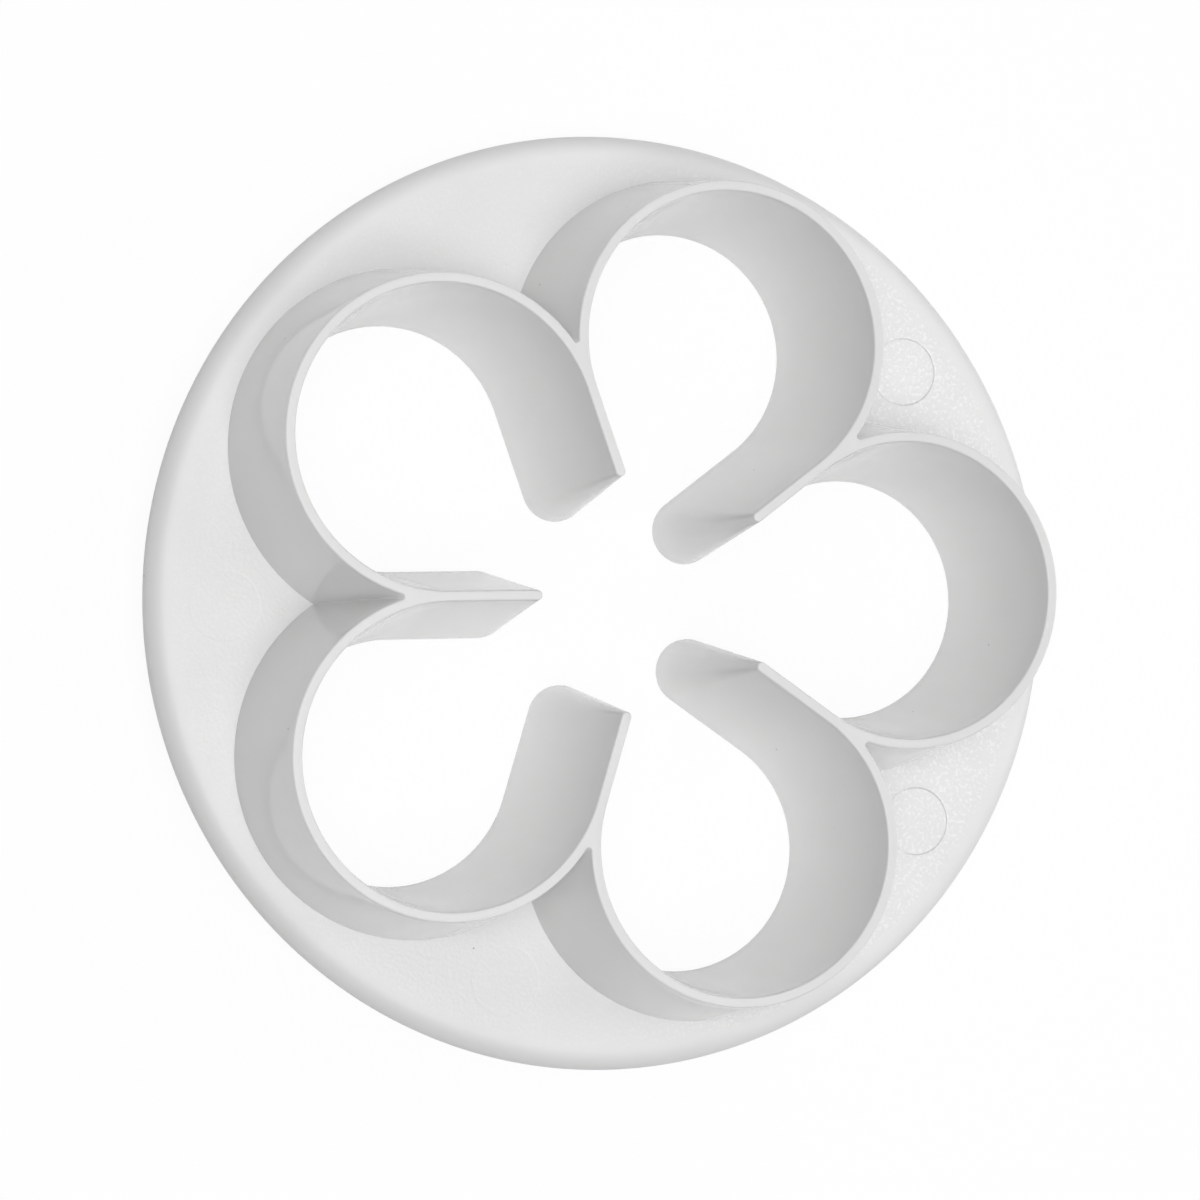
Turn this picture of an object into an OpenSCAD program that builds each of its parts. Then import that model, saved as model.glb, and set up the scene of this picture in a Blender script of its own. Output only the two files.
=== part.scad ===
// Blossom cutter: one white moulding, drawn as the named regions that it is made of.
// Millimetres. The back lies on Z = 0, the cutting edge is at the top and petal 1 points to +X.

/* [Flower] */
// Distance from the axis to the centre of each petal at the cutting edge
petal_d = 18.7; // [17:0.1:21]
// Thickness of the wall at the cutting edge
edge_t = 0.7; // [0.5:0.05:0.9]
// Height of the cutting edge over the back
height = 17; // [15:0.5:20]
// Lean of the wall's outside from upright, in degrees
wall_lean = 9; // [7:0.5:10]
// How much further out a petal's centre lies at the back than at the cutting edge
petal_shift = 0.9; // [0.6:0.1:1.2]

/* [Dividers] */
// Thickness of a divider at the back
divider_back_t = 5; // [4.4:0.1:5.4]
// Distance from the axis to the centre of a divider's rounded end
divider_end_d = 9; // [8.5:0.1:10]

/* [Flange] */
// Width of the flange past the outermost point of a petal, at its face
flange_margin = 2.44; // [2.2:0.02:5]
// Height of the flange's face over the back
flange_t = 5.5; // [5:0.1:6]
// Radius of the flange's rounded outer edge
flange_round = 1.6; // [1:0.1:1.6]
// Lean of the flange's side below the rounded edge, in degrees
rim_lean = 9; // [6:0.5:10]
// Thickness of the flange's web between the petals
web_t = 2; // [1.8:0.1:2.4]
// Step under the web, from the wall's outside in to the collar round a petal's opening
collar_step = 0.3; // [0.2:0.05:0.6]

/* [Ejector marks] */
// Diameter of an ejector mark
mark_d = 5; // [3:0.5:6]
// Gap between an ejector mark and the rim
mark_gap = 0.2; // [0.1:0.1:1]
// Depth of an ejector mark
mark_depth = 0.05; // [0.03:0.01:0.2]

/* [Hidden] */
$fn = 96;
petals = 5;
pitch = 360 / petals;
half_pitch = pitch / 2;

// The sides of a divider run tangent to its two petals, at the top and at the back.
edge_half_t = edge_t / 2;
back_half_t = divider_back_t / 2;
back_d = petal_d + petal_shift;
petal_edge_r = petal_d * sin(half_pitch) - edge_half_t;
petal_back_r = back_d * sin(half_pitch) - back_half_t;
petal_tilt = atan2(petal_shift, height);
petal_length = height / cos(petal_tilt);

// Along a divider's line, the place where its sides touch the petals
touch_edge = petal_d * cos(half_pitch);
touch_back = back_d * cos(half_pitch);
touch_tilt = atan2(touch_back - touch_edge, height);

// The outside of a petal's wall, and how far from the axis it comes at the flange's face
web_z = flange_t - web_t;
outer_edge_r = petal_edge_r + edge_t;
outer_web_r = outer_edge_r + (height - web_z) * tan(wall_lean);
face_reach = petal_d + outer_edge_r + (height - flange_t) * tan(wall_lean);

// The collar follows the leaning opening, and its top stays inside the wall's outside.
web_share = web_z / height;
opening_web_r = petal_back_r + (petal_edge_r - petal_back_r) * web_share;
opening_web_shift = petal_shift * (1 - web_share);
collar_t = outer_web_r - opening_web_r - opening_web_shift - collar_step;
collar_lap = 0.4;
back_reach = back_d + petal_back_r + collar_t;

// The petals' outermost points lie in the rim by rim_lap, at the face and at the back.
rim_lap = 0.3;
rim_inner_r = min(face_reach, back_reach) - rim_lap;
flange_r = face_reach + flange_margin;
round_z = flange_t - flange_round;
rim_web_r = flange_r - (round_z - web_z) * tan(rim_lean);
rim_back_r = flange_r - round_z * tan(rim_lean);
mark_ring_r = rim_inner_r - mark_gap - mark_d / 2;

reach = 50;
over = 1;

// A cone about a petal's own line, which leans outwards towards the back.
// It runs past both ends, with the radii r_back at Z = 0 and r_edge at Z = height.
module petal_cone(r_back, r_edge, past = 0) {
    slope = (r_edge - r_back) / petal_length;
    translate([back_d, 0, 0])
        rotate([0, -petal_tilt, 0])
            translate([0, 0, -past])
                cylinder(
                    h = petal_length + 2 * past,
                    r1 = r_back - slope * past,
                    r2 = r_edge + slope * past
                );
}

// The opening of one petal
module petal_opening() {
    petal_cone(petal_back_r, petal_edge_r, past = 2);
}

// The outside of one petal from the web's underside up to the cutting edge.
// As a cutter it runs past the underside.
module petal_outside(past = 0) {
    translate([petal_d, 0, web_z - past])
        cylinder(
            h = height - web_z + past,
            r1 = outer_web_r + past * tan(wall_lean),
            r2 = outer_edge_r
        );
}

// The outside of one petal below the web, which laps a little way into petal_outside()
module petal_collar() {
    intersection() {
        petal_cone(petal_back_r + collar_t, petal_edge_r + collar_t, past = 2);
        translate([0, -reach, 0])
            cube([reach, 2 * reach, web_z + collar_lap]);
    }
}

module petal_solid() {
    petal_outside();
    petal_collar();
}

// Everything on the axis side of the touching line of the divider at +X
module throat() {
    translate([touch_back, 0, 0])
        rotate([0, -touch_tilt, 0])
            translate([-reach, -reach, -reach / 2])
                cube([reach, 2 * reach, 2 * reach]);
}

// The throat beside the divider on one side of the petal at +X, up to that petal's own line
module petal_throat(side) {
    intersection() {
        rotate([0, 0, side * half_pitch])
            throat();
        translate([-reach, side > 0 ? -over : -reach, -over])
            cube([2 * reach, reach + over, height + 2 * over]);
    }
}

// A wedge of one pitch, centred on +X
module pitch_wedge(h) {
    side = reach * tan(half_pitch);
    translate([0, 0, -over])
        linear_extrude(height = h + 2 * over)
            polygon([[0, 0], [reach, -side], [reach, side]]);
}

// One petal's wall, from the back to the cutting edge
module petal_wall(index) {
    color("whitesmoke")
        rotate([0, 0, index * pitch])
            difference() {
                intersection() {
                    petal_solid();
                    pitch_wedge(height);
                }
                petal_opening();
                petal_throat(1);
                petal_throat(-1);
            }
}

// One divider between two petals: straight tapered sides and a round inner end
module divider(index) {
    color("white")
        rotate([0, 0, (index + 0.5) * pitch]) {
            intersection() {
                translate([divider_end_d, 0, 0])
                    rotate([90, 0, 90])
                        linear_extrude(height = touch_back - divider_end_d)
                            polygon([
                                [-back_half_t, 0],
                                [back_half_t, 0],
                                [edge_half_t, height],
                                [-edge_half_t, height]
                            ]);
                throat();
            }
            translate([divider_end_d, 0, 0])
                cylinder(h = height, r1 = back_half_t, r2 = edge_half_t);
        }
}

// The rounded rim that closes the flange, level with the web
module flange_rim() {
    color("whitesmoke")
        difference() {
            rim_ring()
                rim_profile();
            at_each_petal()
                petal_outside(past = over);
        }
}

// The skirt under the rim, down to the back
module rim_skirt() {
    color("gainsboro")
        difference() {
            rim_ring()
                skirt_profile();
            at_each_petal()
                petal_collar();
        }
}

module at_each_petal() {
    for (index = [0 : petals - 1])
        rotate([0, 0, index * pitch])
            children();
}

// A ring whose seam lies in a bay
module rim_ring() {
    rotate([0, 0, half_pitch])
        rotate_extrude()
            children();
}

// Section of the rim: a straight-sided body, and a quarter round over its chord
module rim_profile() {
    round_r = flange_r - flange_round;
    polygon([
        [rim_inner_r, web_z],
        [rim_web_r, web_z],
        [flange_r, round_z],
        [round_r, flange_t],
        [rim_inner_r, flange_t]
    ]);
    translate([round_r, round_z])
        intersection() {
            circle(r = flange_round);
            square(flange_round);
        }
}

// Section of the skirt, which leans in towards the back
module skirt_profile() {
    polygon([
        [rim_inner_r, 0],
        [rim_back_r, 0],
        [rim_web_r, web_z],
        [rim_inner_r, web_z]
    ]);
}

// The flange's web in the bay between two petals, with its ejector mark
module flange_web(index) {
    color("whitesmoke")
        rotate([0, 0, (index + 0.5) * pitch])
            difference() {
                intersection() {
                    translate([0, 0, web_z])
                        cylinder(h = web_t, r = rim_inner_r);
                    translate([touch_back, -reach, 0])
                        cube([reach, 2 * reach, height]);
                    pitch_wedge(height);
                }
                for (side = [-1, 1])
                    rotate([0, 0, side * half_pitch])
                        petal_outside(past = over);
                translate([mark_ring_r, 0, flange_t - mark_depth])
                    cylinder(h = over, d = mark_d);
            }
}

flange_rim();
rim_skirt();
flange_web(0);  // flange_web_1
flange_web(1);  // flange_web_2
flange_web(2);  // flange_web_3
flange_web(3);  // flange_web_4
flange_web(4);  // flange_web_5
petal_wall(0);  // petal_wall_1
petal_wall(1);  // petal_wall_2
petal_wall(2);  // petal_wall_3
petal_wall(3);  // petal_wall_4
petal_wall(4);  // petal_wall_5
divider(0);  // divider_1
divider(1);  // divider_2
divider(2);  // divider_3
divider(3);  // divider_4
divider(4);  // divider_5
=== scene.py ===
import math

import bpy
import numpy as np
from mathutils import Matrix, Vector


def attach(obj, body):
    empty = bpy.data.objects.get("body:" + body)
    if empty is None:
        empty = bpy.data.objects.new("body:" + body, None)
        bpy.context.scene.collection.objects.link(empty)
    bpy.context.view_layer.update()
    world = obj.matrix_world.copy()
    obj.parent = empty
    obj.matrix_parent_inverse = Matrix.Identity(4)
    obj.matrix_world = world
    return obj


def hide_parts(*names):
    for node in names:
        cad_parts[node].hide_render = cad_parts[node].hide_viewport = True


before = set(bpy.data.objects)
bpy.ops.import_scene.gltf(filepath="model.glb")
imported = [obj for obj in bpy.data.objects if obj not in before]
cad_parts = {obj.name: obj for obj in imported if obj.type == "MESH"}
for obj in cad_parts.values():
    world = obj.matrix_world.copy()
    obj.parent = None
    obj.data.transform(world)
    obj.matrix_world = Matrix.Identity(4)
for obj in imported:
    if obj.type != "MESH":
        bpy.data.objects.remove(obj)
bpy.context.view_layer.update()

mm = 0.001
print("frame loaded:", len(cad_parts), "nodes")

# Sizes that several pieces share, in millimetres and degrees. They are the part's own sizes.
cutter = {
    "petals": 5,
    "height": 17.0,
    "petalAtEdge": 18.7,        # axis to a petal's centre, at the cutting edge
    "petalAtBack": 19.6,        # the same at the back
    "edgeWidth": 0.7,
    "dividerAtBack": 5.0,
    "wallLean": 9.0,
    "faceHeight": 5.5,          # flange face over the back
    "webHeight": 3.5,           # underside of the flange's web
    "collarThickness": 3.111,
    "rimInside": 31.431,
    "markRing": 28.731,         # axis to an ejector mark's centre
    "markWidth": 5.0,
    "edgeRound": 0.15,          # rounding of the cutting edge's two corners
    "backRound": 0.12,
}

pitch = 2 * math.pi / cutter["petals"]
halfPitch = pitch / 2
height = cutter["height"]


# The sizes below are for whole arrays of heights z over the back. This one is a linear blend from back to edge.
def petalCentre(z):
    return cutter["petalAtBack"] + (cutter["petalAtEdge"] - cutter["petalAtBack"]) * z / height


def dividerHalf(z):     # half a divider's thickness, also a linear blend
    return (cutter["dividerAtBack"] + (cutter["edgeWidth"] - cutter["dividerAtBack"]) * z / height) / 2


def openingRadius(z):     # the petal's circle touches the divider's side
    return petalCentre(z) * math.sin(halfPitch) - dividerHalf(z)


def outsideRadius(z):     # about the petal's centre at the edge, growing downwards with the wall's lean
    atEdge = openingRadius(height) + cutter["edgeWidth"]
    return atEdge + (height - z) * math.tan(math.radians(cutter["wallLean"]))


def collarRadius(z):     # the collar under the flange keeps one thickness round the opening
    return openingRadius(z) + cutter["collarThickness"]


# Inset and depth of a rounded corner between a flat land and a wall that leans by `lean`: a circle that
# touches both. The points run from the wall to the land.
def roundedCorner(radius, lean, steps=8):
    turn = np.linspace(lean, math.pi / 2, steps)
    inset = radius * (1 - math.sin(lean)) / math.cos(lean) - radius * np.cos(turn)
    return inset, radius * (1 - np.sin(turn))


# Heights and circle radii of the inside skin, from the rounded back corner up to the rounded cutting edge.
def insideRows(steps=14):
    lean = math.atan((openingRadius(height) - openingRadius(0)) / height)
    backInset, backRise = roundedCorner(cutter["backRound"], -lean)
    edgeInset, edgeDrop = roundedCorner(cutter["edgeRound"], lean)
    z = np.linspace(backRise[0], height - edgeDrop[0], steps)[1:-1]
    atBack = openingRadius(0) + backInset[::-1]
    atEdge = openingRadius(height) + edgeInset
    heights = np.concatenate([backRise[::-1], z, height - edgeDrop])
    return heights, np.concatenate([atBack, openingRadius(z), atEdge])


# A closed shell from a grid of points, path steps by loop steps. The loop is closed. The path is closed into
# a ring or ends in two caps. Faces are turned outwards by the sign of the shell's volume. Edges that bend by
# more than `sharpest` degrees shade sharp.
def shellPiece(name, grid, ring=False, sharpest=32):
    steps, loop = grid.shape[:2]
    points = grid.reshape(-1, 3)
    here = np.arange(steps if ring else steps - 1)[:, None]
    there = (here + 1) % steps
    side = np.arange(loop)[None, :]
    beside = (side + 1) % loop
    quads = np.stack(
        [here * loop + side, there * loop + side, there * loop + beside, here * loop + beside], -1
    ).reshape(-1, 4)
    a, b, c, d = (points[quads[:, k]] for k in range(4))
    volume = np.sum(np.cross(a, b) * c) + np.sum(np.cross(a, c) * d)
    caps = [] if ring else [np.arange(loop), np.arange(loop)[::-1] + (steps - 1) * loop]
    for cap in caps:
        corners = points[cap]
        volume += np.sum(np.cross(corners, np.roll(corners, -1, 0)) * corners.mean(0))
    if volume < 0:
        quads = quads[:, ::-1]
        caps = [cap[::-1] for cap in caps]
    faces = quads.tolist() + [cap.tolist() for cap in caps]
    mesh = bpy.data.meshes.new(name)
    mesh.from_pydata((points * mm).tolist(), [], faces)
    mesh.polygons.foreach_set("use_smooth", np.ones(len(mesh.polygons), bool))
    mesh.set_sharp_from_angle(angle=math.radians(sharpest))
    mesh.update()
    piece = bpy.data.objects.new(name, mesh)
    bpy.context.scene.collection.objects.link(piece)
    return piece


def inPlace(plan, z, turn):     # plan points x + iy turned about the axis, with their heights
    turned = plan * np.exp(1j * turn)
    return np.stack([turned.real, turned.imag, np.broadcast_to(z, plan.shape)], -1)


# Arithmetic on sockets: an expression adds its own Math nodes.
class Wire:
    def __init__(self, tree, socket=None):
        self.tree = tree
        self.socket = socket

    # Any node: its settings are set first, then its sockets get values or links. Answers with one output.
    def node(self, kind, settings, sockets, output=0):
        made = self.tree.nodes.new(kind)
        for name, value in settings.items():
            setattr(made, name, value)
        for name, value in sockets.items():
            if isinstance(value, Wire):
                self.tree.links.new(value.socket, made.inputs[name])
            else:
                made.inputs[name].default_value = value
        return Wire(self.tree, made.outputs[output])

    def maths(self, operation, *values):
        return self.node("ShaderNodeMath", {"operation": operation}, dict(enumerate(values)))

    def __add__(self, other):
        return self.maths("ADD", self, other)

    def __sub__(self, other):
        return self.maths("SUBTRACT", self, other)

    def __mul__(self, other):
        return self.maths("MULTIPLY", self, other)

    def __rsub__(self, other):
        return self.maths("SUBTRACT", other, self)

    __radd__ = __add__
    __rmul__ = __mul__

    # 0 below `low`, 1 above `high`, and a smooth step between them
    def step(self, low, high):
        return self.node(
            "ShaderNodeMapRange",
            {"interpolation_type": "SMOOTHSTEP"},
            {"Value": self, "From Min": low, "From Max": high},
        )


plastic = {
    "colour": (0.80, 0.80, 0.796),
    "roughness": 0.07,          # the walls are polished
    "roughnessSpread": 0.02,
    "landRoughness": 0.45,      # the cutting edge's flat land is ground, not polished
    # the land's colour is darker than the walls', by this factor
    "landShade": 0.87,
    "landFrom": (0.12, 0.03),   # millimetres under the edge between which polish turns into ground land
    "refraction": 1.6,          # index of refraction, which sets the strength of the gloss
    "mottle": 0.012,            # lighter and darker patches, as a share of the colour
    "mottleSize": 9.0,          # millimetres
    "mottleFrom": (0.3, 0.7),   # levels of the noise between which dark turns into light
    "speckSpacing": 3.6,        # millimetres between the cells that may hold a dark speck
    "speckSize": 0.09,
    "speckCore": 0.6,           # share of a speck that is fully dark
    "speckColour": (0.33, 0.32, 0.30),
    "wave": 0.001,              # millimetres of waviness in the polished walls
    "waveSize": 5.0,
    "grain": 0.0002,            # fine texture that the polished steel leaves
    "grainSize": 0.25,
    "sparkHeight": 0.055,       # spark-eroded texture of the flange's face, on its clear side
    "sparkSize": 0.26,
    "sparkRoughness": 0.28,
    "paintedGlint": 0.10,              # painted glints: how much lighter the texture's heights are, in place of light sparkling off them
    "paintedGlintFrom": (0.5, 0.68),   # the heights that get painted glints, as levels of the noise
    "wornShare": 0.2,           # share of that texture left on the worn side, towards -X
    "wornRoughness": 0.32,
    "wornFrom": (-2.0, 14.0),   # millimetres along X over which the worn side turns into the clear side
    "faceFrom": (0.12, 0.06),   # millimetres under the flange's face between which its texture begins
    "smoothBand": (32.1, 32.9), # radii over which the texture fades out before the rim's rounding
    "rimRoughness": 0.5,
    "flangeShade": 0.93,        # the flange's colour is a little darker than the walls'
    "paintedShadeBays": (0, 4),        # bays whose ejector mark has painted shade in its groove
    "paintedShade": 0.27,              # share of the colour that the painted shade takes away
    "paintedShadeFade": (0.021, 0.07), # millimetres beside the groove's line over which the painted shade ends
    "paintedShadeLeast": 0.3,          # share of the painted shade on the side towards -X
    "paintedShadeTurn": (-1.5, 0.5),   # millimetres along X, from the mark's centre, over which it grows to all of it
}
black = (0, 0, 0, 1)


def along(start, place, axis):     # one coordinate of a place
    return start.node("ShaderNodeSeparateXYZ", {}, {"Vector": place}, axis)


def overPlan(start, place):     # the same place without its height
    return start.node("ShaderNodeVectorMath", {"operation": "MULTIPLY"}, {0: place, 1: (1, 1, 0)})


def distance(start, vector):
    return start.node("ShaderNodeVectorMath", {"operation": "LENGTH"}, {0: vector}, "Value")


def noise(start, place, size, detail):     # size in millimetres
    return start.node(
        "ShaderNodeTexNoise", {}, {"Vector": place, "Scale": 1 / (size * mm), "Detail": detail}
    )


def blend(start, share, first, second):     # of two colours
    return start.node("ShaderNodeMix", {"data_type": "RGBA"}, {0: share, 6: first, 7: second}, 2)


# The painted shade in the groove round one bay's ejector mark, a dark line in place of the groove's shadow: the
# distance from the mark's circle, faded. It is strongest towards +X, which is the side away from the axis in
# the bays that have it.
def paintedShadeLine(start, place, bay):
    middle = cutter["markRing"] * mm * np.exp(1j * (bay + 0.5) * pitch)
    across = start.node(
        "ShaderNodeVectorMath",
        {"operation": "SUBTRACT"},
        {0: overPlan(start, place), 1: (middle.real, middle.imag, 0)},
    )
    gap = start.maths("ABSOLUTE", distance(start, across) - cutter["markWidth"] / 2 * mm)
    line = 1 - gap.step(*(edge * mm for edge in plastic["paintedShadeFade"]))
    outward = along(start, across, "X").step(*(edge * mm for edge in plastic["paintedShadeTurn"]))
    return plastic["paintedShade"] * line * (plastic["paintedShadeLeast"] + (1 - plastic["paintedShadeLeast"]) * outward)


# White plastic. The walls are polished and the cutting edge's land is ground. Where `sparked`, faces level
# with the flange's face have an eroded texture with painted glints on its heights, and some ejector marks have
# painted shade in their groove.
def whitePlastic(name, sparked):
    look = bpy.data.materials.new(name)
    look.use_nodes = True
    tree = look.node_tree
    shader = tree.nodes["Principled BSDF"]
    tree.nodes.remove(tree.nodes["Material Output"])
    start = Wire(tree)
    place = start.node("ShaderNodeTexCoord", {}, {}, "Object")
    z = along(start, place, "Z")
    land = z.step(*((height - depth) * mm for depth in plastic["landFrom"]))

    mottle = noise(start, place, plastic["mottleSize"], 3.0)
    shade = plastic["flangeShade"] if sparked else 1.0
    light = tuple(c * shade * (1 + plastic["mottle"]) for c in plastic["colour"]) + (1,)
    dark = tuple(c * shade * (1 - plastic["mottle"]) for c in plastic["colour"]) + (1,)
    colour = blend(start, mottle.step(*plastic["mottleFrom"]), dark, light)
    specks = start.node(
        "ShaderNodeTexVoronoi",
        {},
        {"Vector": place, "Scale": 1 / (plastic["speckSpacing"] * mm), "Randomness": 1.0},
    )
    speckEdge = plastic["speckSize"] / plastic["speckSpacing"]
    clean = specks.step(plastic["speckCore"] * speckEdge, speckEdge)
    colour = blend(start, clean, plastic["speckColour"] + (1,), colour)
    # the cutting edge's land gets a darker colour, landShade of the rest
    colour = blend(start, land * (1 - plastic["landShade"]), colour, black)

    wave = noise(start, place, plastic["waveSize"], 1.0)
    grain = noise(start, place, plastic["grainSize"], 2.0)
    relief = wave * (plastic["wave"] * mm) + grain * (plastic["grain"] * mm)
    roughness = plastic["roughness"] + plastic["roughnessSpread"] * (mottle - 0.5)
    roughness = roughness + land * (plastic["landRoughness"] - plastic["roughness"])

    if sparked:
        smooth = distance(start, overPlan(start, place)).step(*(r * mm for r in plastic["smoothBand"]))
        face = z.step(*((cutter["faceHeight"] - depth) * mm for depth in plastic["faceFrom"])) * (1 - smooth)
        clear = along(start, place, "X").step(*(x * mm for x in plastic["wornFrom"]))
        coarse = noise(start, place, plastic["sparkSize"], 1.0)
        share = plastic["wornShare"] + (1 - plastic["wornShare"]) * clear
        relief = relief + face * share * coarse * (plastic["sparkHeight"] * mm)
        clearer = (plastic["sparkRoughness"] - plastic["wornRoughness"]) * clear
        faceRoughness = plastic["wornRoughness"] + clearer
        roughness = plastic["rimRoughness"] + face * (faceRoughness - plastic["rimRoughness"])
        # painted glints: the texture's heights get a lighter colour, more so on the clear side towards +X
        paintedGlintTone = 1 + face * share * coarse.step(*plastic["paintedGlintFrom"]) * plastic["paintedGlint"]
        colour = start.node("ShaderNodeVectorMath", {"operation": "SCALE"}, {"Vector": colour, "Scale": paintedGlintTone})
        # painted shade: a dark line in the groove round the ejector mark of these bays
        for bay in plastic["paintedShadeBays"]:
            colour = blend(start, paintedShadeLine(start, place, bay), colour, black)

    bump = start.node("ShaderNodeBump", {}, {"Strength": 1.0, "Distance": 1.0, "Height": relief})
    tree.links.new(colour.socket, shader.inputs["Base Color"])
    tree.links.new(roughness.socket, shader.inputs["Roughness"])
    tree.links.new(bump.socket, shader.inputs["Normal"])
    shader.inputs["IOR"].default_value = plastic["refraction"]
    output = tree.nodes.new("ShaderNodeOutputMaterial")
    tree.links.new(shader.outputs["BSDF"], output.inputs["Surface"])
    return look


polished = whitePlastic("polished white plastic", False)
sparkedFace = whitePlastic("textured white plastic", True)
print("materials made")


def finishPiece(piece, look, *nodes):
    piece.data.materials.append(look)
    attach(piece, "root")
    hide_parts(*nodes)


wall = {
    "columns": 150,             # round one petal's circle
    "filletColumns": 10,        # round each half of the valley between two petals
    "outsideRows": 12,
    "collarRows": 6,
    "valley": 0.22,             # radius in the valley, at the cutting edge
    "valleyFoot": 0.03,         # the same further down, where the two walls meet sharply
    "valleyFade": 0.8,          # millimetres under the edge over which the radius shrinks
    "pocketValley": 0.5,        # the same between two collars, under the flange
    "outsideFoot": 4.6,         # the outside wall ends in the flange here
    "collarTop": 4.2,           # the collar starts here, also inside the flange
}


# The valley's radius: what it has at the foot, and the rest fading exponentially with the depth under the edge.
def valleyRadius(z):
    fade = np.exp((z - height) / wall["valleyFade"])
    return wall["valleyFoot"] + (wall["valley"] - wall["valleyFoot"]) * fade


# Where the valley between two petals ends on the pitch line: the fillet's circle touches both petals' circles,
# so its centre lies on that line at one radius plus the fillet from a petal's centre.
def valleyCentre(centre, radius, fillet):
    foot = centre * math.cos(halfPitch)
    across = centre * math.sin(halfPitch)
    return foot + np.sqrt((radius + fillet) ** 2 - across ** 2)


# Plan of the outside at t = -1..1 round a petal: its circle, and past |t| = arcShare the valley's fillet up
# to the pitch line.
def outsidePlan(centre, radius, fillet, t, arcShare):
    middle = valleyCentre(centre, radius, fillet) * np.exp(1j * halfPitch)
    touch = np.angle(middle - centre)
    size = np.abs(t)
    onArc = centre + radius * np.exp(1j * touch * np.minimum(size / arcShare, 1))
    turn = touch + np.pi + (halfPitch - touch) * (size - arcShare) / (1 - arcShare)
    onFillet = middle + fillet * np.exp(1j * turn)
    plan = np.where(size <= arcShare, onArc, onFillet)
    return np.where(t < 0, np.conj(plan), plan)


# One petal's wall: a section of inside skin, land, outside and collar, carried round the petal from pitch line
# to pitch line. On the inside it ends where the divider's side touches the petal's circle.
def petalWall(index):
    arcShare = 1 - wall["filletColumns"] / wall["columns"] * 2
    half = np.concatenate([
        np.linspace(0, arcShare, wall["columns"] // 2),
        np.linspace(arcShare, 1, wall["filletColumns"] + 1)[1:],
    ])
    t = np.concatenate([-half[:0:-1], half])[:, None]
    zIn, rIn = insideRows()
    inside = petalCentre(zIn) + rIn * np.exp(1j * t * (math.pi / 2 + halfPitch))
    inset, drop = roundedCorner(cutter["edgeRound"], math.radians(cutter["wallLean"]))
    zLeaning = np.linspace(height - drop[0], wall["outsideFoot"], wall["outsideRows"])[1:]
    zOut = np.concatenate([height - drop[::-1], zLeaning])
    inset = np.concatenate([inset[::-1], outsideRadius(height) - outsideRadius(zLeaning)])
    rOut = outsideRadius(height) - inset
    fillet = valleyRadius(zOut) + np.maximum(inset, 0)
    outside = outsidePlan(cutter["petalAtEdge"], rOut, fillet, t, arcShare)
    zCollar = np.linspace(wall["collarTop"], 0, wall["collarRows"])
    collar = outsidePlan(petalCentre(zCollar), collarRadius(zCollar), wall["pocketValley"], t, arcShare)
    plan = np.concatenate([inside, outside, collar], 1)
    z = np.concatenate([zIn, zOut, zCollar])
    piece = shellPiece(f"petalWall{index + 1}", inPlace(plan, z, index * pitch))
    finishPiece(piece, polished, f"petal_wall_{index + 1}")


divider = {
    "endDistance": 9.0,         # axis to the centre of the round end
    "sideColumns": 10,
    "endColumns": 24,
    "noseInset": 0.1,           # below the land, the nose stays inside the valley
    "lead": 0.3,                # the sides run on this far inside the petal's wall, so that they shade flat
    "leadAtEnds": 0.02,         # the same in the land and in the back
}


# One divider: at each height its outline has two straight sides from the touching points to the round end, and
# a nose that fills the web between the two petals up to the valley.
def dividerBlade(index):
    z, radius = insideRows()
    centre = petalCentre(z)[:, None]
    halfWide = centre * math.sin(halfPitch) - radius[:, None]
    touch = centre * math.cos(halfPitch)
    edgeInset = roundedCorner(cutter["edgeRound"], math.radians(cutter["wallLean"]))[0][-1]
    overFlange = z > wall["outsideFoot"]
    outside = np.where(overFlange, outsideRadius(z), collarRadius(z))
    about = np.where(overFlange, cutter["petalAtEdge"], petalCentre(z))
    fillet = np.where(overFlange, valleyRadius(z), wall["pocketValley"])
    nose = valleyCentre(about, outside, fillet) - fillet - divider["noseInset"]
    nose[-1] += divider["noseInset"] - edgeInset
    nose[0] += divider["noseInset"]
    lead = np.full((len(z), 1), divider["lead"])
    lead[[0, -1]] = divider["leadAtEnds"]
    flat = touch + (divider["endDistance"] - touch) * np.linspace(0, 1, divider["sideColumns"])
    side = np.concatenate([touch + lead, flat], 1) + 1j * halfWide
    turn = np.linspace(math.pi / 2, 3 * math.pi / 2, divider["endColumns"] + 1)[1:-1]
    end = divider["endDistance"] + halfWide * np.exp(1j * turn)
    plan = np.concatenate([nose[:, None] + 0j, side, end, np.conj(side[:, ::-1])], 1)
    piece = shellPiece(f"divider{index + 1}", inPlace(plan, z[:, None], (index + 0.5) * pitch))
    finishPiece(piece, polished, f"divider_{index + 1}")


for index in range(cutter["petals"]):
    petalWall(index)
    dividerBlade(index)
print("petal walls and dividers made")

flange = {
    "radius": 34.303,
    "round": 1.6,
    "rimLean": 9.0,
    "backRound": 0.15,
    "buried": 11.9,             # radius about a petal's centre at which the web ends, inside the wall
    "webReach": 32.0,           # degrees that a web reaches to each side of its bay's middle
    "markReach": 5.8,           # degrees that an ejector mark takes, with finer steps
    "markStep": 0.11,           # degrees
    "bayStep": 1.0,
    "faceRows": 210,
    "underRows": 6,
    "rimFaceRows": 6,
    "roundRows": 18,
    "petalColumns": 10,         # of the rim, between the webs of two bays
    "markDepths": (0.03, 0.005, 0.005, 0.005, 0.03),
    "markSlope": 0.10,          # millimetres over which the mark's floor goes down
    "grooveDepths": (0.05, 0.002, 0.002, 0.002, 0.05),
    "grooveWidth": 0.06,
}


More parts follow.
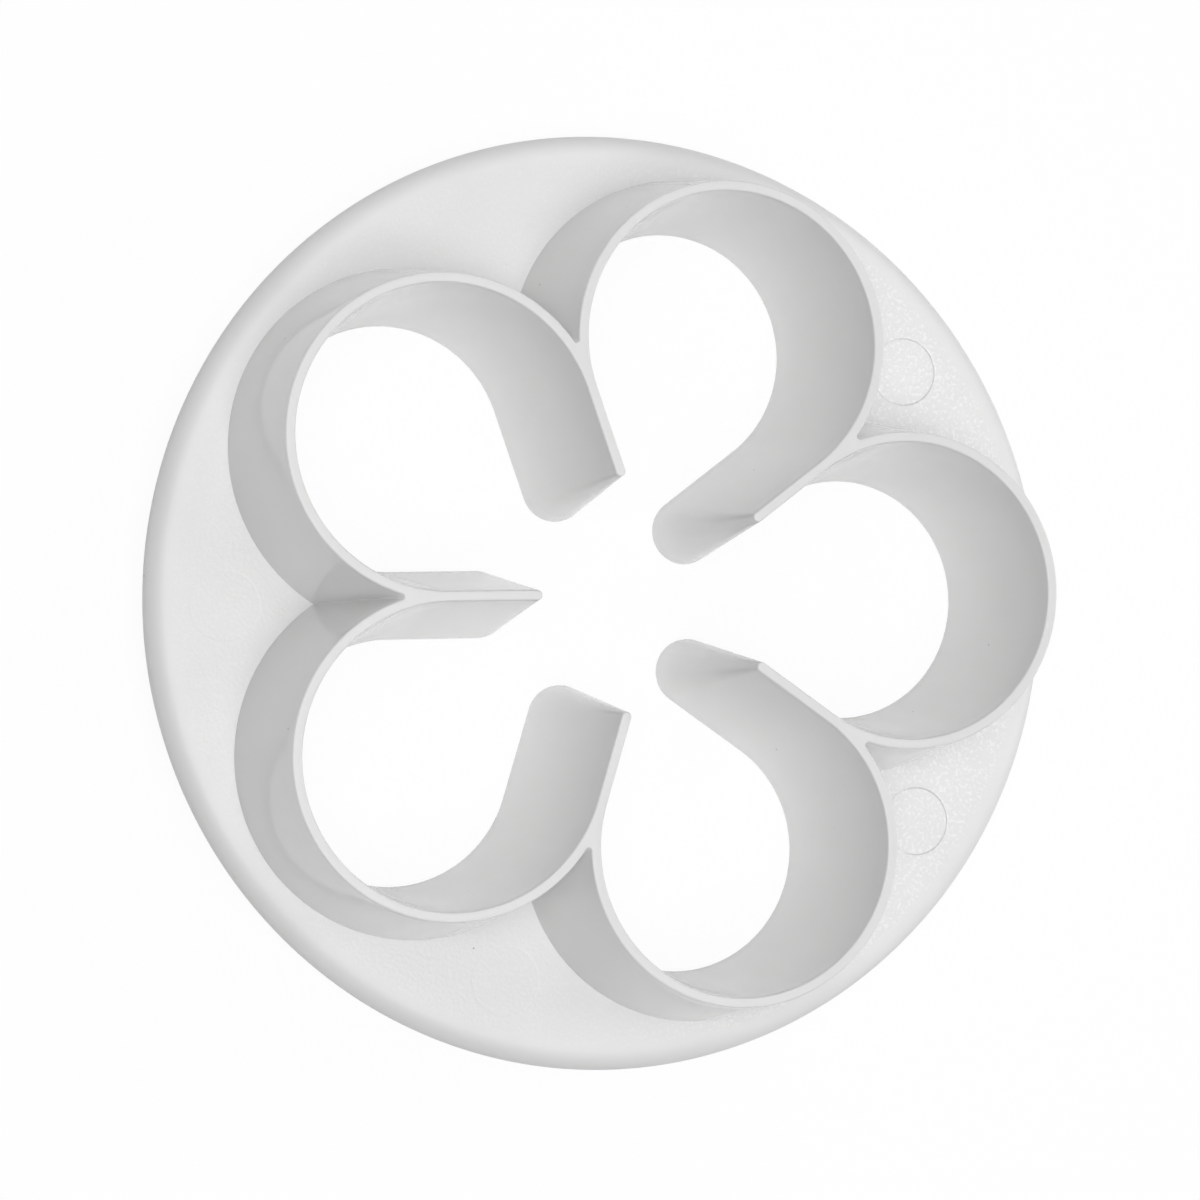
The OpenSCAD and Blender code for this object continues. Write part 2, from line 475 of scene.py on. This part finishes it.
# Angles about a bay's middle: close together over the ejector mark, and wider apart up to the web's ends.
def bayAngles():
    near = np.arange(-flange["markReach"], flange["markReach"] + 1e-6, flange["markStep"])
    farColumns = int(flange["webReach"] / flange["bayStep"])
    far = np.linspace(flange["markReach"], flange["webReach"], farColumns)[1:]
    return np.radians(np.concatenate([-far[::-1], near, far]))


# Distance from the axis, along a ray at angle `ray` from a petal's middle, to the far side of a circle about
# the petal.
def farSide(ray, centre, radius):
    return centre * np.cos(ray) + np.sqrt(radius ** 2 - (centre * np.sin(ray)) ** 2)


# The ejector mark pressed into a face: a shallow floor inside its circle, and a fine groove along the circle.
def markSink(plan, index):
    gap = np.abs(plan - cutter["markRing"]) - cutter["markWidth"] / 2
    inside = np.clip(0.5 - gap / flange["markSlope"], 0, 1)
    floor = flange["markDepths"][index] * inside ** 2 * (3 - 2 * inside)
    return floor + flange["grooveDepths"][index] * np.exp(-(gap / flange["grooveWidth"]) ** 2)


# The web in one bay: a section of underside, outer face, top face and buried inner face, carried round the
# axis.
def flangeWeb(index):
    ray = bayAngles()[:, None]
    inner = farSide(np.abs(ray) - halfPitch, cutter["petalAtEdge"], flange["buried"])
    width = cutter["rimInside"] - inner
    under = inner + width * np.linspace(0, 1, flange["underRows"])
    over = inner + width * np.linspace(1, 0, flange["faceRows"])
    plan = np.concatenate([under, over], 1) * np.exp(1j * ray)
    z = np.concatenate([
        np.full(under.shape, cutter["webHeight"]),
        cutter["faceHeight"] - markSink(plan[:, under.shape[1]:], index),
    ], 1)
    piece = shellPiece(f"flangeWeb{index + 1}", inPlace(plan, z, (index + 0.5) * pitch))
    finishPiece(piece, sparkedFace, f"flange_web_{index + 1}")


# The rim and the skirt under it: one section of face, rounded edge, leaning side, back and inner wall, carried
# round the axis. At the back it makes room for the petals' collars.
def flangeRim():
    bay = bayAngles()
    strip = np.linspace(bay[-1], pitch - bay[-1], flange["petalColumns"])[1:-1]
    ray = np.concatenate([np.concatenate([bay, strip]) + pitch * k for k in range(cutter["petals"])])
    fromPetal = (ray + pitch) % pitch - halfPitch
    lean = math.radians(flange["rimLean"])
    turn = np.linspace(math.pi / 2, -lean, flange["roundRows"])
    roundMiddle = flange["radius"] - flange["round"]
    roundHeight = cutter["faceHeight"] - flange["round"]
    edge = [roundMiddle + flange["round"] * np.cos(turn), roundHeight + flange["round"] * np.sin(turn)]
    inset, rise = roundedCorner(flange["backRound"], lean)
    foot = edge[0][-1] - edge[1][-1] * math.tan(lean)
    face = np.linspace(cutter["rimInside"], roundMiddle, flange["rimFaceRows"])[:-1]
    section = np.concatenate([face, edge[0], foot - inset])
    heights = np.concatenate([np.full(face.shape, cutter["faceHeight"]), edge[1], rise])
    collar = farSide(fromPetal, cutter["petalAtBack"], collarRadius(0.0))
    inner = np.maximum(cutter["rimInside"], collar)[:, None]
    wholeInner = np.full(inner.shape, cutter["rimInside"])
    radius = np.concatenate([np.broadcast_to(section, (len(ray), len(section))), inner, wholeInner], 1)
    z = np.concatenate([heights, [0.0, cutter["webHeight"]]])
    plan = radius * np.exp(1j * ray[:, None])
    piece = shellPiece("flangeRim", inPlace(plan, z, halfPitch), ring=True)
    finishPiece(piece, sparkedFace, "flange_rim", "rim_skirt")


for index in range(cutter["petals"]):
    flangeWeb(index)
flangeRim()
print("flange made")

studio = {
    "floorSize": 3.0,
    "floorColour": (0.9, 0.9, 0.9, 1),
    "floorWhite": 0.93,         # share of plain white that the camera sees on the floor
    "floorGloss": 0.18,         # the same in the plastic's gloss
    "world": 0.02,
    "worldGloss": 0.41,         # strength of the surroundings in the plastic's gloss
}


# The floor looks white to the camera and keeps a share of the object's shadow.
def studioFloor():
    reach = studio["floorSize"] / 2
    corners = [(-reach, -reach, 0), (reach, -reach, 0), (reach, reach, 0), (-reach, reach, 0)]
    mesh = bpy.data.meshes.new("floor")
    mesh.from_pydata(corners, [], [(0, 1, 2, 3)])
    floor = bpy.data.objects.new("floor", mesh)
    bpy.context.scene.collection.objects.link(floor)
    look = bpy.data.materials.new("white floor")
    look.use_nodes = True
    tree = look.node_tree
    tree.nodes.clear()
    start = Wire(tree)
    camera = start.node("ShaderNodeLightPath", {}, {}, "Is Camera Ray")
    glossy = start.node("ShaderNodeLightPath", {}, {}, "Is Glossy Ray")
    seen = camera * studio["floorWhite"] + glossy * studio["floorGloss"]
    matt = start.node("ShaderNodeBsdfDiffuse", {}, {"Color": studio["floorColour"]})
    white = start.node("ShaderNodeEmission", {}, {"Color": (1, 1, 1, 1), "Strength": 1.0})
    both = start.node("ShaderNodeMixShader", {}, {0: seen, 1: matt, 2: white})
    output = tree.nodes.new("ShaderNodeOutputMaterial")
    tree.links.new(both.socket, output.inputs["Surface"])
    mesh.materials.append(look)


# The world is white to the camera, pale in the plastic's gloss, and almost dark as a light.
def studioWorld():
    world = bpy.data.worlds.new("studio")
    bpy.context.scene.world = world
    world.use_nodes = True
    tree = world.node_tree
    tree.nodes.clear()
    start = Wire(tree)
    camera = start.node("ShaderNodeLightPath", {}, {}, "Is Camera Ray")
    glossy = start.node("ShaderNodeLightPath", {}, {}, "Is Glossy Ray")
    toCamera = camera * (1 - studio["world"])
    toGloss = glossy * (studio["worldGloss"] - studio["world"])
    level = studio["world"] + toCamera + toGloss
    sky = start.node("ShaderNodeBackground", {}, {"Color": (1, 1, 1, 1), "Strength": level})
    output = tree.nodes.new("ShaderNodeOutputWorld")
    tree.links.new(sky.socket, output.inputs["Surface"])


# name: place it stands at, width and height, power in watts. Each faces the middle of the cutter's back.
lamps = {
    "glint": ((0.317, 0.028, 0.509), (0.1, 0.1), 0.12),
    "aboveLeft": ((-0.1452, 0.0, 0.5822), (0.2, 0.2), 1.010),
    "aboveNear": ((0.0, -0.1452, 0.5822), (0.2, 0.2), 0.933),
    "aboveFar": ((0.0, 0.1452, 0.5822), (0.2, 0.2), 0.240),
    "highLeft": ((-0.3, 0.0, 0.5196), (0.2, 0.2), 0.158),
    "highNearLeft": ((-0.2121, -0.2121, 0.5196), (0.2, 0.2), 0.173),
    "highFar": ((0.0, 0.3, 0.5196), (0.2, 0.2), 0.136),
    "midFar": ((0.0, 0.4728, 0.3694), (0.25, 0.25), 0.312),
    "midFarRight": ((0.3343, 0.3343, 0.3694), (0.25, 0.25), 0.343),
    "midNearRight": ((0.3343, -0.3343, 0.3694), (0.25, 0.25), 0.303),
    "midFarLeft": ((-0.3343, 0.3343, 0.3694), (0.25, 0.25), 0.095),
    "midNear": ((0.0, -0.4728, 0.3694), (0.25, 0.25), 0.067),
    "midNearLeft": ((-0.3343, -0.3343, 0.3694), (0.25, 0.25), 0.055),
    "lowRight": ((0.5796, 0.0, 0.1553), (0.25, 0.15), 0.75),
    "lowNearRight": ((0.4098, -0.4098, 0.1553), (0.25, 0.15), 0.078),
}


def studioLamps():
    for name, (place, size, power) in lamps.items():
        light = bpy.data.lights.new(name, "AREA")
        light.shape = "RECTANGLE"
        light.size, light.size_y = size
        light.energy = power
        lamp = bpy.data.objects.new(name, light)
        bpy.context.scene.collection.objects.link(lamp)
        lamp.location = place
        lamp.rotation_euler = (-Vector(place)).to_track_quat("-Z", "Y").to_euler()


photoView = {
    "sensor": 36.0,             # millimetres
    "lens": 100.97,
    "place": (-72.129, -8.623, 240.532),
    "turn": (2.4365, -16.7720, -1.4559),     # degrees
}


def photoCamera():
    camera = bpy.data.objects.new("camera", bpy.data.cameras.new("camera"))
    bpy.context.scene.collection.objects.link(camera)
    camera.data.sensor_width = photoView["sensor"]
    camera.data.lens = photoView["lens"]
    camera.location = [c * mm for c in photoView["place"]]
    camera.rotation_euler = [math.radians(a) for a in photoView["turn"]]
    bpy.context.scene.camera = camera


studioFloor()
studioWorld()
studioLamps()
photoCamera()
bpy.context.scene.view_settings.view_transform = "Standard"
print("studio set up")
